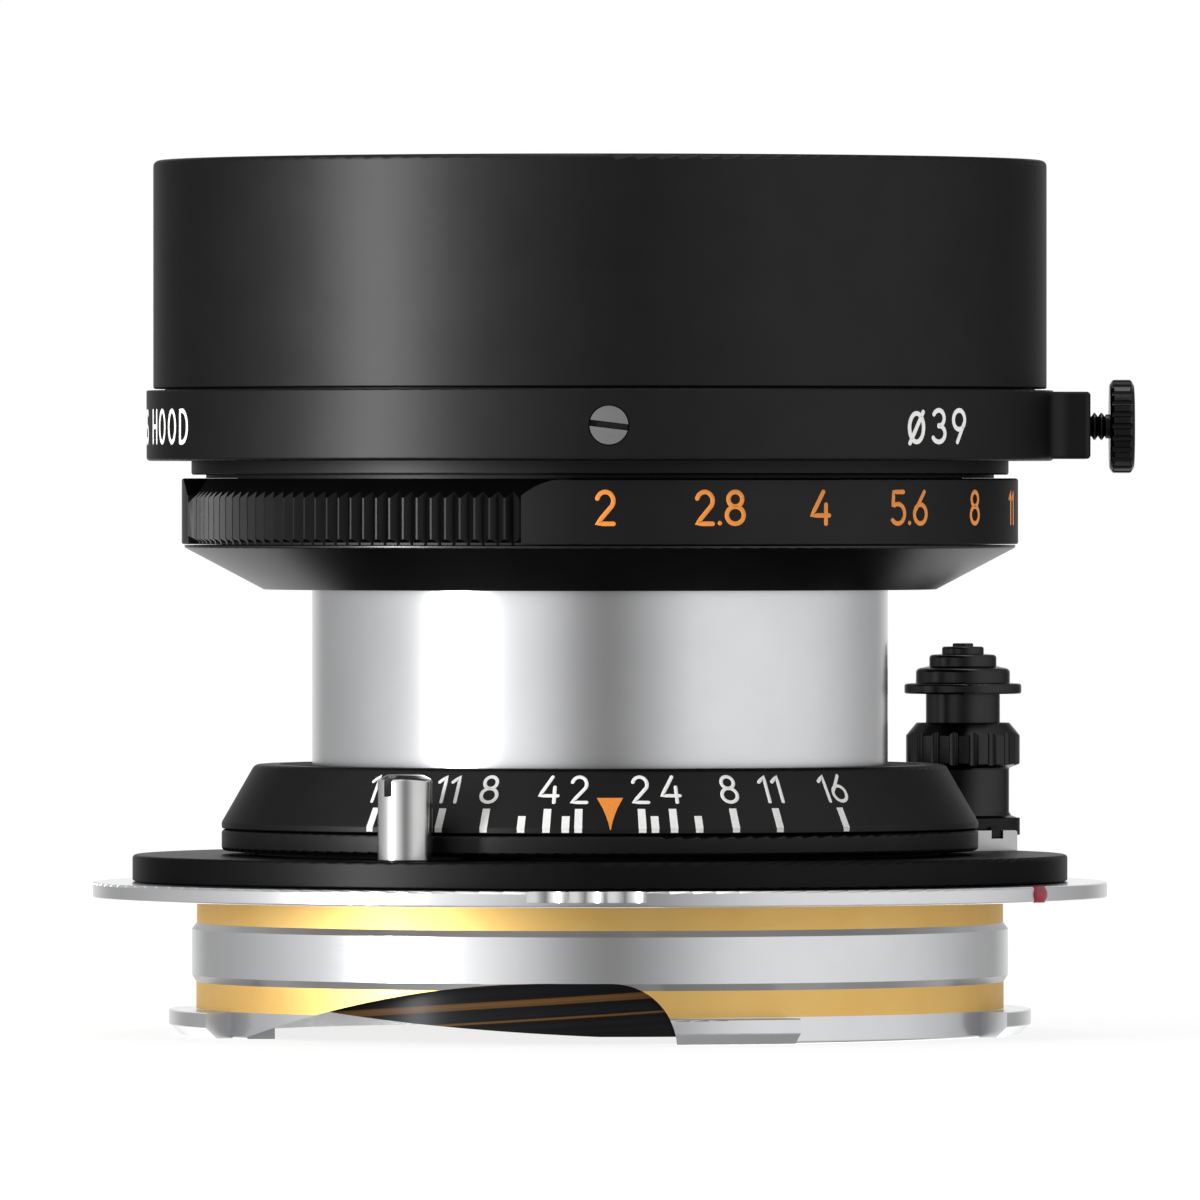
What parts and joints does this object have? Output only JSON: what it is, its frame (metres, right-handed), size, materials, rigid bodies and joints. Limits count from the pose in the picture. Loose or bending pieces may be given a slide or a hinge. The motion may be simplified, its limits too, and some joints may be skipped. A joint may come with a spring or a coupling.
{
  "type": "collapsible camera lens",
  "caption": "Collapsible bayonet-mount camera lens with focusing lever, infinity lock, click aperture ring, leaf iris and a clamp-on hood.",
  "frame": {"origin": "on the optical axis, in the plane of the flange face that rests on the camera", "axes": "+Z along the optical axis towards the subject, +X towards the hood's thumb screw, -Y through the camera feeler cutout"},
  "size_m": [0.0534, 0.052, 0.0447],
  "materials": {
    "satin_chrome": "satin chrome plate on turned brass",
    "bright_steel": "fine turned steel",
    "red_bead": "moulded, translucent red",
    "black_enamel": "satin black finish with a fine blasted grain",
    "gloss_black": "glossy black with fine helical turning marks",
    "matt_black": "matt black anti-reflection paint",
    "brass": "turned brass",
    "spring_steel": "drawn wire",
    "blade_steel": "blackened spring steel sheet",
    "optical_glass": "polished and coated",
    "nylon": "moulded"
  },
  "bodies": {
    "mount_base": {"bayonet_mount": "satin_chrome", "mount_screws": "bright_steel", "mount_index_bead": "red_bead", "base_flange": "black_enamel", "focus_shim": "brass", "fixed_helicoid": "brass", "guide_key": "brass", "stop_post": "bright_steel", "infinity_catch": "bright_steel", "catch_screws": "bright_steel"},
    "rangefinder_carrier": {"rangefinder_ring": "gloss_black", "rangefinder_circlip": "spring_steel"},
    "focus_group": {"focus_helicoid": "brass", "depth_scale_ring": "black_enamel", "focus_lever_ring": "black_enamel", "barrel_retaining_ring": "matt_black", "focus_knob": "black_enamel", "knob_spring": "spring_steel"},
    "lock_button": {"lock_button": "black_enamel", "lock_pin": "bright_steel"},
    "tube_lock": {"collapse_lock_ring": "brass"},
    "lens_head": {"collapsing_tube": "satin_chrome", "head_cone": "black_enamel", "head_barrel": "matt_black", "click_spring": "spring_steel", "click_ball": "bright_steel", "filter_ring": "black_enamel", "front_cell": "matt_black", "front_bezel": "matt_black", "iris_base_plate": "matt_black", "middle_retaining_ring": "matt_black", "rear_cell": "matt_black", "rear_retaining_ring": "matt_black", "lens_element_1": "optical_glass", "lens_element_2": "optical_glass", "lens_element_3": "optical_glass", "lens_element_4": "optical_glass", "lens_element_5": "optical_glass"},
    "aperture_ring": {"aperture_ring": "black_enamel", "aperture_drive_screw": "spring_steel", "iris_drive_ring": "brass"},
    "hood": {"hood_shell": "black_enamel", "hood_clamp_ring": "black_enamel", "hood_screws": "bright_steel"},
    "clamp_pad": {"clamp_pad": "nylon"},
    "clamp_screw": {"clamp_screw": "black_enamel"},
    "blade_01": {"iris_blade_01": "blade_steel"},
    "blade_02": {"iris_blade_02": "blade_steel"},
    "blade_03": {"iris_blade_03": "blade_steel"},
    "blade_04": {"iris_blade_04": "blade_steel"},
    "blade_05": {"iris_blade_05": "blade_steel"},
    "blade_06": {"iris_blade_06": "blade_steel"},
    "blade_07": {"iris_blade_07": "blade_steel"},
    "blade_08": {"iris_blade_08": "blade_steel"},
    "blade_09": {"iris_blade_09": "blade_steel"},
    "blade_10": {"iris_blade_10": "blade_steel"}
  },
  "joints": [
    {"name": "focus_advance", "type": "slide", "parent": "mount_base", "child": "rangefinder_carrier", "axis": [0, 0, 1], "range_m": [0, 0.00251]},
    {"name": "focus_turn", "type": "hinge", "parent": "rangefinder_carrier", "child": "focus_group", "pos_m": [0, 0, 0], "axis": [0, 0, 1], "range_deg": [0, 188.5]},
    {"name": "lock_button_press", "type": "slide", "parent": "focus_group", "child": "lock_button", "axis": [0, 0, -1], "range_m": [0, 0.0012], "stiffness_N_per_m": 400, "springref_m": -0.001, "deforming": ["knob_spring"]},
    {"name": "tube_unlock_turn", "type": "hinge", "parent": "focus_group", "child": "tube_lock", "pos_m": [0, 0, 0], "axis": [0, 0, 1], "range_deg": [0, 18]},
    {"name": "tube_collapse", "type": "slide", "parent": "tube_lock", "child": "lens_head", "axis": [0, 0, 1], "range_m": [-0.0086, 0]},
    {"name": "aperture_turn", "type": "hinge", "parent": "lens_head", "child": "aperture_ring", "pos_m": [0, 0, 0], "axis": [0, 0, 1], "range_deg": [-94.2, 0]},
    {"name": "hood_pull_off", "type": "slide", "parent": "lens_head", "child": "hood", "axis": [0, 0, 1], "range_m": [0, 0.02]},
    {"name": "clamp_pad_travel", "type": "slide", "parent": "hood", "child": "clamp_pad", "axis": [1, 0, 0], "range_m": [0, 0.00105]},
    {"name": "clamp_screw_turn", "type": "hinge", "parent": "clamp_pad", "child": "clamp_screw", "pos_m": [0.025, 0, 0.02413], "axis": [1, 0, 0], "range_deg": [0, 1081]},
    {"name": "blade_01_swing", "type": "hinge", "parent": "lens_head", "child": "blade_01", "pos_m": [0.0149, 0, 0.0175], "axis": [0, 0, 1], "range_deg": [0, 33.3]},
    {"name": "blade_02_swing", "type": "hinge", "parent": "lens_head", "child": "blade_02", "pos_m": [0.01205, 0.00876, 0.0175], "axis": [0, 0, 1], "range_deg": [0, 33.3]},
    {"name": "blade_03_swing", "type": "hinge", "parent": "lens_head", "child": "blade_03", "pos_m": [0.0046, 0.01417, 0.0175], "axis": [0, 0, 1], "range_deg": [0, 33.3]},
    {"name": "blade_04_swing", "type": "hinge", "parent": "lens_head", "child": "blade_04", "pos_m": [-0.0046, 0.01417, 0.0175], "axis": [0, 0, 1], "range_deg": [0, 33.3]},
    {"name": "blade_05_swing", "type": "hinge", "parent": "lens_head", "child": "blade_05", "pos_m": [-0.01205, 0.00876, 0.0175], "axis": [0, 0, 1], "range_deg": [0, 33.3]},
    {"name": "blade_06_swing", "type": "hinge", "parent": "lens_head", "child": "blade_06", "pos_m": [-0.0149, 0, 0.0175], "axis": [0, 0, 1], "range_deg": [0, 33.3]},
    {"name": "blade_07_swing", "type": "hinge", "parent": "lens_head", "child": "blade_07", "pos_m": [-0.01205, -0.00876, 0.0175], "axis": [0, 0, 1], "range_deg": [0, 33.3]},
    {"name": "blade_08_swing", "type": "hinge", "parent": "lens_head", "child": "blade_08", "pos_m": [-0.0046, -0.01417, 0.0175], "axis": [0, 0, 1], "range_deg": [0, 33.3]},
    {"name": "blade_09_swing", "type": "hinge", "parent": "lens_head", "child": "blade_09", "pos_m": [0.0046, -0.01417, 0.0175], "axis": [0, 0, 1], "range_deg": [0, 33.3]},
    {"name": "blade_10_swing", "type": "hinge", "parent": "lens_head", "child": "blade_10", "pos_m": [0.01205, -0.00876, 0.0175], "axis": [0, 0, 1], "range_deg": [0, 33.3]}
  ],
  "couplings": [
    {"joint": "focus_turn", "follows": "focus_advance", "rad_per_m": 1309},
    {"joint": "clamp_screw_turn", "follows": "clamp_pad_travel", "rad_per_m": 17952},
    {"joint": "blade_01_swing", "follows": "aperture_turn", "ratio": -0.35191},
    {"joint": "blade_02_swing", "follows": "aperture_turn", "ratio": -0.35191},
    {"joint": "blade_03_swing", "follows": "aperture_turn", "ratio": -0.35191},
    {"joint": "blade_04_swing", "follows": "aperture_turn", "ratio": -0.35191},
    {"joint": "blade_05_swing", "follows": "aperture_turn", "ratio": -0.35191},
    {"joint": "blade_06_swing", "follows": "aperture_turn", "ratio": -0.35191},
    {"joint": "blade_07_swing", "follows": "aperture_turn", "ratio": -0.35191},
    {"joint": "blade_08_swing", "follows": "aperture_turn", "ratio": -0.35191},
    {"joint": "blade_09_swing", "follows": "aperture_turn", "ratio": -0.35191},
    {"joint": "blade_10_swing", "follows": "aperture_turn", "ratio": -0.35191}
  ]
}
